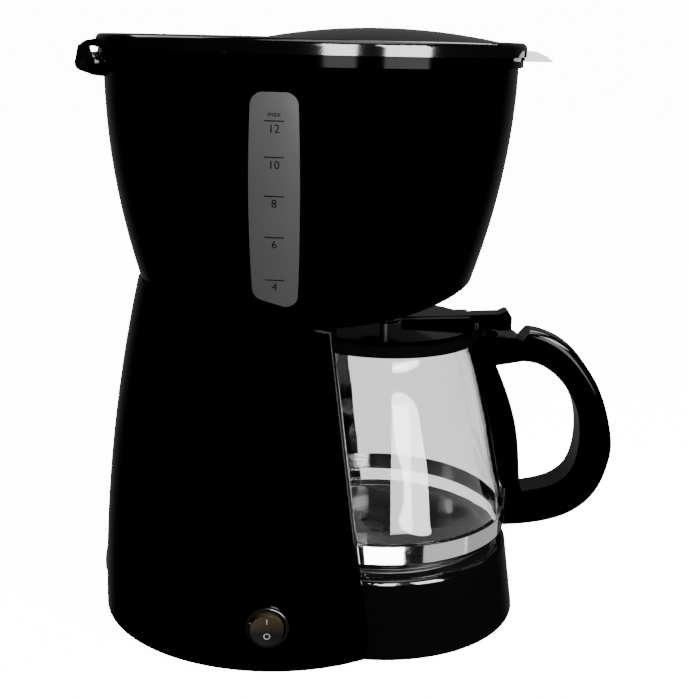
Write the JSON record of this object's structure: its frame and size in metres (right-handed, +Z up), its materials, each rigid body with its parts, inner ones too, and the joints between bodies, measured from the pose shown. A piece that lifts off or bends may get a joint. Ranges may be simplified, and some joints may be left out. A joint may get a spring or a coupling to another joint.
{
  "type": "drip coffee maker",
  "caption": "Drip coffee maker with an oval gloss-black upper housing, water gauge, hinged lid, round rocker switch and a glass jug with a steel band on a warming plate",
  "frame": {"origin": "middle of the bounding box's base, on the surface the feet stand on", "axes": "+Z up; -Y is the front, where the jug's handle points; the switch and the water gauge are on the -X side"},
  "size_m": [0.1874, 0.2847, 0.3156],
  "materials": {
    "black_shell": "moulded, high gloss",
    "black_inner": "moulded, satin",
    "tank_plastic": "moulded, translucent grey",
    "gauge_plastic": "moulded, smoked translucent",
    "jug_glass": "blown, clear",
    "band_steel": "polished strip",
    "plate_coating": "baked coating",
    "casting_metal": "as cast",
    "element_steel": "drawn tube",
    "fastener_steel": "zinc plated",
    "spring_steel": "drawn wire",
    "rubber": "matt",
    "hose_silicone": "translucent, soft",
    "valve_plastic": "moulded",
    "fuse_ceramic": "glazed",
    "terminal_plastic": "moulded",
    "lead_sleeve": "woven sleeve",
    "switch_black": "moulded, gloss",
    "rocker_amber": "moulded, tinted translucent"
  },
  "bodies": {
    "machine": {"upper_housing": "black_shell", "water_tank": "tank_plastic", "gauge_window": "gauge_plastic", "tank_deck": "black_shell", "filter_housing": "black_inner", "hinge_bracket": "black_shell", "hinge_pin": "fastener_steel", "tower_shell": "black_shell", "cavity_wall": "black_shell", "base_drum": "black_shell", "base_plate": "black_inner", "feet": "rubber", "base_screws": "fastener_steel", "warming_plate": "plate_coating", "plate_gasket": "rubber", "heater_casting": "casting_metal", "water_tube": "casting_metal", "heating_element": "element_steel", "heater_bracket": "element_steel", "heater_studs": "fastener_steel", "thermostat": "element_steel", "thermal_fuses": "fuse_ceramic", "cold_hose": "hose_silicone", "hot_hose": "hose_silicone", "check_valve": "valve_plastic", "riser_tube": "valve_plastic", "outlet_spout": "black_inner", "switch_bezel": "switch_black", "switch_body": "switch_black", "terminal_block": "terminal_plastic", "internal_leads": "lead_sleeve", "cord_gland": "rubber"},
    "lid": {"lid": "black_shell", "lid_spreader": "black_inner"},
    "basket": {"filter_basket": "black_inner", "valve_spring": "spring_steel"},
    "valve": {"valve_plunger": "black_inner", "valve_seal": "rubber"},
    "rocker": {"switch_rocker": "rocker_amber"},
    "jug": {"jug_glass": "jug_glass", "jug_band": "band_steel", "band_screw": "fastener_steel", "jug_collar": "black_shell", "jug_handle": "black_shell", "handle_cover": "black_shell", "lever_pin": "fastener_steel"},
    "jug_lid": {"jug_lid": "black_shell", "lid_lever": "black_shell"}
  },
  "joints": [
    {"name": "lid_hinge", "type": "hinge", "parent": "machine", "child": "lid", "pos_m": [0, 0.13735, 0.2954], "axis": [-1, 0, 0], "range_deg": [0, 100]},
    {"name": "jug_slide", "type": "slide", "parent": "machine", "child": "jug", "axis": [0, -1, 0], "range_m": [0, 0.2]},
    {"name": "jug_lid_hinge", "type": "hinge", "parent": "jug", "child": "jug_lid", "pos_m": [0, -0.06865, 0.159], "axis": [1, 0, 0], "range_deg": [0, 3]},
    {"name": "basket_lift", "type": "slide", "parent": "machine", "child": "basket", "axis": [0, 0, 1], "range_m": [0, 0.004]},
    {"name": "drip_valve_lift", "type": "slide", "parent": "basket", "child": "valve", "axis": [0, 0, 1], "range_m": [0, 0.003], "deforming": ["valve_spring"]},
    {"name": "rocker_tilt", "type": "hinge", "parent": "machine", "child": "rocker", "pos_m": [-0.08639, 0.04105, 0.026], "axis": [0, 1, 0], "range_deg": [0, 14]}
  ],
  "couplings": [
    {"joint": "drip_valve_lift", "follows": "jug_lid_hinge", "m_per_rad": 0.053}
  ]
}
